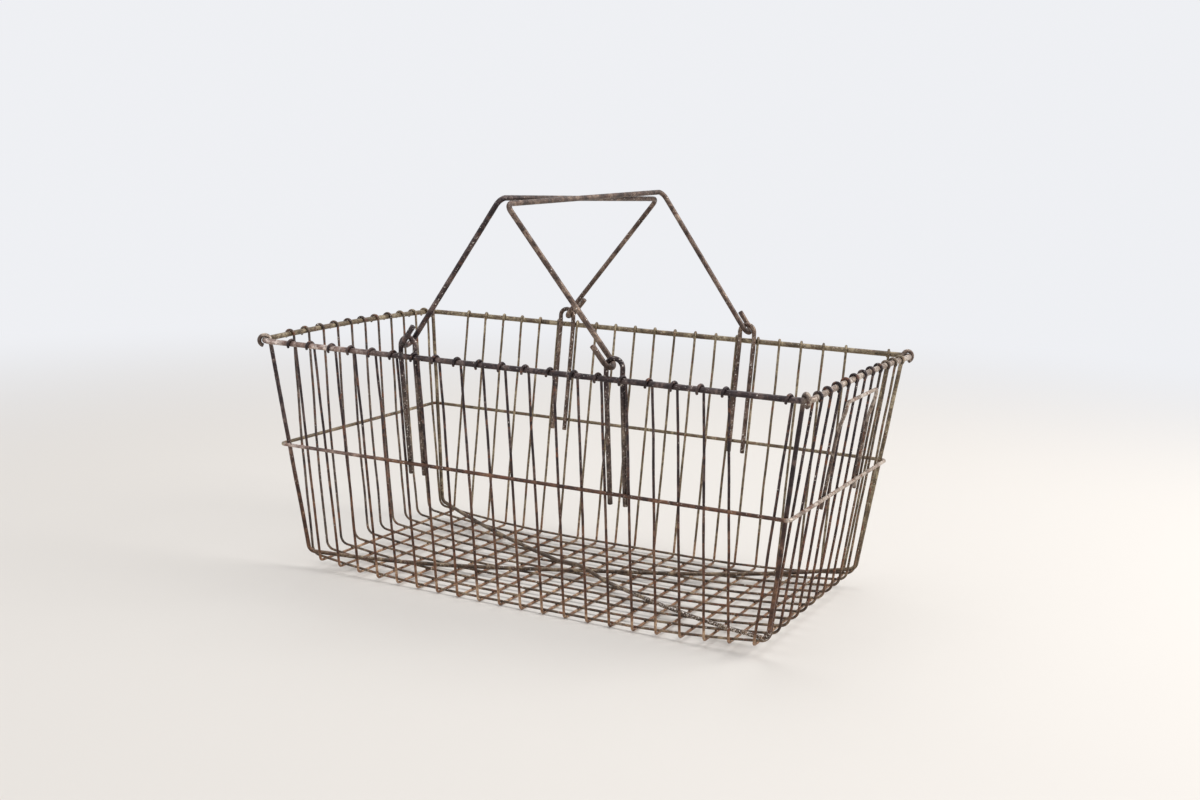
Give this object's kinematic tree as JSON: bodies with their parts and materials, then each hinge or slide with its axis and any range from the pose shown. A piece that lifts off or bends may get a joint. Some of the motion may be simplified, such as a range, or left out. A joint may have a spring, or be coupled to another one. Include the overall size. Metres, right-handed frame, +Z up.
{
  "type": "wire_basket",
  "caption": "Open rectangular market basket of steel wire with tapered walls, a dished grid floor, wires hooked round the rim, and two fold-down carrying handles in wire loops",
  "frame": {"origin": "on the table under the middle of the basket", "axes": "X along the basket, Y from front to back across it, Z up"},
  "size_m": [0.4586, 0.2436, 0.3064],
  "materials": {
    "rib_steel": "thin bare steel wire, aged brown with spots of rust and worn tan patches",
    "frame_steel": "thick bare steel wire, dark brown patina mottled with tan and worn bright spots",
    "handle_steel": "thick bare steel wire, dark grey-brown patina, worn smoother than the basket"
  },
  "bodies": {
    "basket": {"rim_hoop": "frame_steel", "mid_band": "frame_steel", "corner_wire_a": "frame_steel", "corner_wire_b": "frame_steel", "end_bracket": "frame_steel", "handle_loop_front_left": "frame_steel", "handle_loop_front_right": "frame_steel", "handle_loop_back_left": "frame_steel", "handle_loop_back_right": "frame_steel", "long_rib_01": "rib_steel", "long_rib_02": "rib_steel", "long_rib_03": "rib_steel", "long_rib_04": "rib_steel", "long_rib_05": "rib_steel", "long_rib_06": "rib_steel", "long_rib_07": "rib_steel", "long_rib_08": "rib_steel", "long_rib_09": "rib_steel", "long_rib_10": "rib_steel", "long_rib_11": "rib_steel", "long_rib_12": "rib_steel", "long_rib_13": "rib_steel", "long_rib_14": "rib_steel", "long_rib_15": "rib_steel", "long_rib_16": "rib_steel", "long_rib_17": "rib_steel", "long_rib_18": "rib_steel", "long_rib_19": "rib_steel", "long_rib_20": "rib_steel", "long_rib_21": "rib_steel", "short_rib_01": "rib_steel", "short_rib_02": "rib_steel", "short_rib_03": "rib_steel", "short_rib_04": "rib_steel", "short_rib_05": "rib_steel", "short_rib_06": "rib_steel", "short_rib_07": "rib_steel", "short_rib_08": "rib_steel", "short_rib_09": "rib_steel", "short_rib_10": "rib_steel", "short_rib_11": "rib_steel"},
    "left_handle": {"left_handle": "handle_steel"},
    "right_handle": {"right_handle": "handle_steel"}
  },
  "joints": [
    {"name": "left_handle_swing", "type": "hinge", "parent": "basket", "child": "left_handle", "pos_m": [-0.0896, -0.1133, 0.1937], "axis": [-0.052, -0.9986, 0], "range_deg": [0, 125]},
    {"name": "right_handle_swing", "type": "hinge", "parent": "basket", "child": "right_handle", "pos_m": [0.0814, -0.1133, 0.1937], "axis": [0.0402, 0.9992, 0], "range_deg": [0, 125]}
  ]
}
